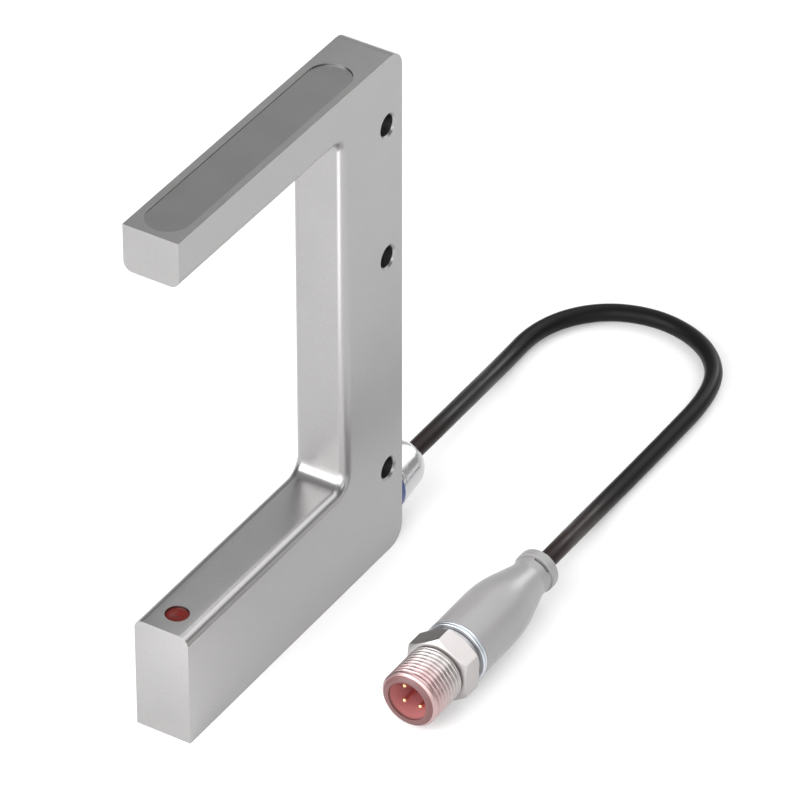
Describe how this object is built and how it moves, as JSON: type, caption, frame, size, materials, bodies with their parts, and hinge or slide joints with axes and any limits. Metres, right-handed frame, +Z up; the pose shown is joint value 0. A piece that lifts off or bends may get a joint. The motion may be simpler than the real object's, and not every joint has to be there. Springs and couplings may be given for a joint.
{
  "type": "fork sensor",
  "caption": "C-shaped aluminium light barrier: emitter and receiver face each other across a gap; short cable with round screw plug.",
  "frame": {"origin": "middle of the housing's underside, on the surface that the sensor stands on", "axes": "+Z up the housing, arms and beam openings point along -Y, screw holes run along X, the plug lies at +X"},
  "size_m": [0.0533, 0.1635, 0.115],
  "materials": {
    "housing_metal": "blasted, satin",
    "cover_plate": "blasted, satin, a shade darker",
    "red_lens": "dark red, glossy",
    "holder_plastic": "matt black",
    "led_resin": "clear resin",
    "chip_plastic": "matt black",
    "circuit_board": "green solder mask",
    "capacitor_ceramic": "tan ceramic",
    "wire_jacket": "smooth",
    "bright_metal": "polished nickel",
    "blue_ring": "blue, smooth",
    "black_rubber": "matt",
    "cable_jacket": "black, satin",
    "nickel_metal": "nickel plated, satin",
    "red_carrier": "salmon red, smooth",
    "gold_contact": "gold plated",
    "grip_grey": "light grey, satin"
  },
  "bodies": {
    "sensor": {"housing": "housing_metal", "top_cover": "cover_plate", "bottom_cover": "cover_plate", "emitter_lens": "red_lens", "emitter_holder": "holder_plastic", "emitter_led": "led_resin", "receiver_lens": "red_lens", "receiver_photodiode": "chip_plastic", "receiver_board": "circuit_board", "receiver_chip": "chip_plastic", "main_board": "circuit_board", "amplifier_chip": "chip_plastic", "driver_chip": "chip_plastic", "filter_capacitors": "capacitor_ceramic", "link_wires": "wire_jacket", "gland_body": "bright_metal", "seal_ring": "blue_ring", "gland_cap": "bright_metal", "cable_grommet": "black_rubber", "cable": "cable_jacket", "cable_cores": "wire_jacket", "contact_carrier": "red_carrier", "contact_pin_1": "gold_contact", "contact_pin_2": "gold_contact", "contact_pin_3": "gold_contact", "retaining_ring": "bright_metal", "plug_grip": "grip_grey"},
    "coupling": {"coupling_screw": "nickel_metal"}
  },
  "joints": [
    {"name": "coupling_turn", "type": "hinge", "parent": "sensor", "child": "coupling", "pos_m": [0.0388, -0.0127, 0.00755], "axis": [0, 1, 0], "continuous": true}
  ]
}
